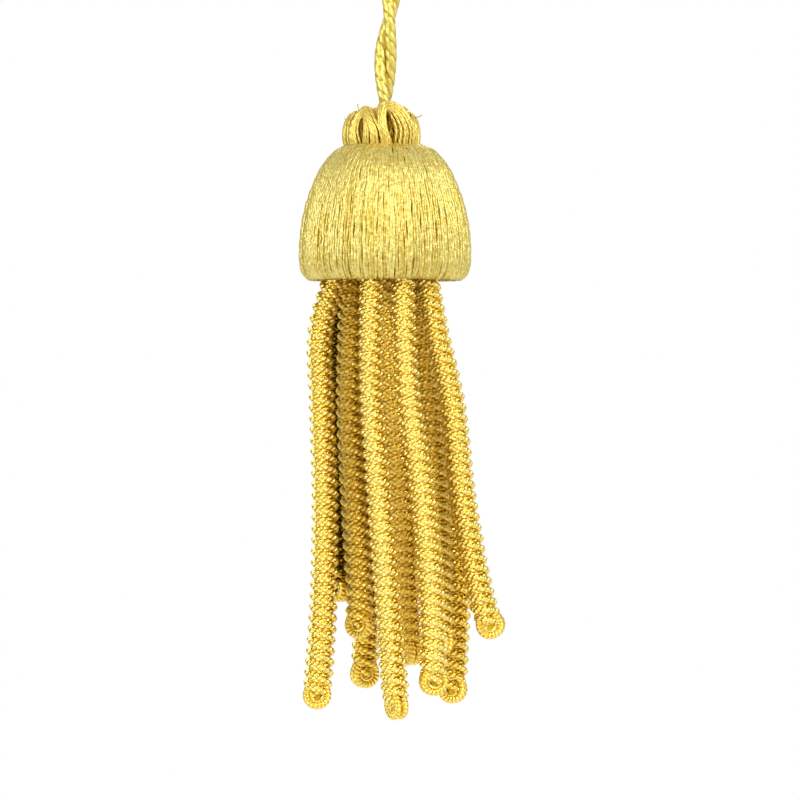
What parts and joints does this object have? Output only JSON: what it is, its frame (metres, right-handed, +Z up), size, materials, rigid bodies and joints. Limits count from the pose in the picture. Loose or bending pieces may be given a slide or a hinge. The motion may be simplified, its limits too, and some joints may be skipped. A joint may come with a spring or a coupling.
{
  "type": "bullion tassel",
  "caption": "Hanging tassel with a bell-shaped yarn head, a looped crown, a doubled hanging cord and thick twisted bullion strands, used as a trimming.",
  "frame": {"origin": "where a hook bears on the inside of the top of the hanging loop", "axes": "+Z up along the hanging tassel, -Y towards the front of the picture, +X to the right as seen from the front"},
  "size_m": [0.0412, 0.0344, 0.1693],
  "materials": {
    "cord_yarn": "twisted metallic yarn, soft lustre",
    "crown_yarn": "fine metallic yarn, soft lustre",
    "head_yarn": "fine upright metallic yarn, soft lustre",
    "bullion_yarn": "tightly twisted metallic yarn, bright lustre"
  },
  "bodies": {
    "root": {"hanging_loop": "cord_yarn", "crown": "crown_yarn", "head": "head_yarn", "skirt": "bullion_yarn"}
  },
  "joints": []
}
